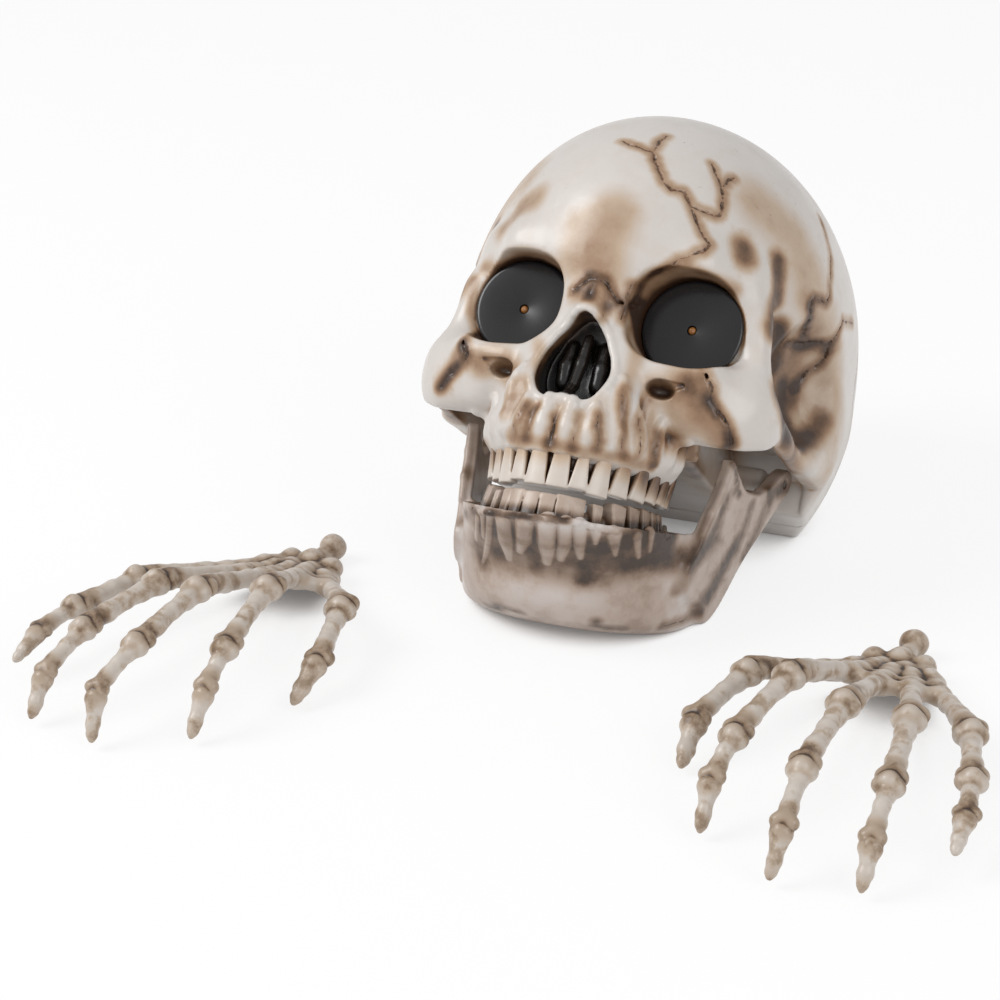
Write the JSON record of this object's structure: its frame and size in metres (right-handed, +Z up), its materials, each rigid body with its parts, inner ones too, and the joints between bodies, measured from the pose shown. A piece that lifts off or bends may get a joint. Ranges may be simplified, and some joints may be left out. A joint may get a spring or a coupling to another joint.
{
  "type": "halloween skull decoration",
  "caption": "Life-size tilted skull with lit eye discs, a hinged lower jaw and a battery base, standing on a surface with a pair of loose skeleton hands in front.",
  "frame": {"origin": "on the underside of the base plate at the skull's midplane, just in front of the battery door, where the part rests on its surface", "axes": "+Z up from the surface, the face looks along -Y, +X to the skull's own left"},
  "size_m": [0.3422, 0.3533, 0.1669],
  "materials": {
    "cranium_bone": "moulded plastic, painted bone white with a brown wash, semi-gloss",
    "jaw_bone": "moulded plastic, painted greyish bone with a heavy brown wash, semi-gloss",
    "hand_bone": "moulded plastic, painted bone with brown in the joints, satin",
    "eye_plastic": "charcoal, satin gloss",
    "amber_lens": "clear amber resin, glossy",
    "black_plastic": "moulded, fine texture",
    "steel": "zinc plated",
    "cell_jacket": "plain printed sleeve, satin",
    "board_laminate": "solder mask, satin",
    "wire_jacket": "soft sleeve, satin"
  },
  "bodies": {
    "cranium": {"cranium_front_shell": "cranium_bone", "cranium_rear_shell": "cranium_bone", "jaw_hinge_pin_left": "steel", "jaw_hinge_pin_right": "steel", "eye_disc_left": "eye_plastic", "eye_disc_right": "eye_plastic", "eye_led_left": "amber_lens", "eye_led_right": "amber_lens", "led_holder_left": "black_plastic", "led_holder_right": "black_plastic", "led_wire_left": "wire_jacket", "led_wire_right": "wire_jacket", "shell_screw_left": "steel", "shell_screw_right": "steel", "base_screw_left_1": "steel", "base_screw_left_2": "steel", "base_screw_right_1": "steel", "base_screw_right_2": "steel", "base_plate": "black_plastic", "battery_box": "black_plastic", "battery_cell_1": "cell_jacket", "battery_cell_2": "cell_jacket", "battery_cell_3": "cell_jacket", "spring_contact_1": "steel", "spring_contact_2": "steel", "spring_contact_3": "steel", "button_contact_1": "steel", "button_contact_2": "steel", "button_contact_3": "steel", "circuit_board": "board_laminate", "board_screw_1": "steel", "board_screw_2": "steel", "switch_body": "steel", "battery_wire": "wire_jacket", "switch_wire": "wire_jacket"},
    "jaw": {"lower_jaw": "jaw_bone"},
    "door": {"battery_door": "black_plastic", "battery_door_screw": "steel"},
    "knob": {"switch_knob": "black_plastic"},
    "hand_left": {"left_hand": "hand_bone"},
    "hand_right": {"right_hand": "hand_bone"}
  },
  "joints": [
    {"name": "jaw_hinge", "type": "hinge", "parent": "cranium", "child": "jaw", "pos_m": [0, -0.0305, 0.034], "axis": [1, 0, 0], "range_deg": [-1, 22]},
    {"name": "battery_door_hinge", "type": "hinge", "parent": "cranium", "child": "door", "pos_m": [0, 0.0018, 0.0006], "axis": [-1, 0, 0], "range_deg": [0, 70]},
    {"name": "switch_slide", "type": "slide", "parent": "cranium", "child": "knob", "axis": [1, 0, 0], "range_m": [0, 0.003]},
    {"name": "left_hand_lift", "type": "slide", "parent": "cranium", "child": "hand_left", "axis": [0, 0, 1], "range_m": [0, 0.1]},
    {"name": "right_hand_lift", "type": "slide", "parent": "cranium", "child": "hand_right", "axis": [0, 0, 1], "range_m": [0, 0.1]}
  ]
}
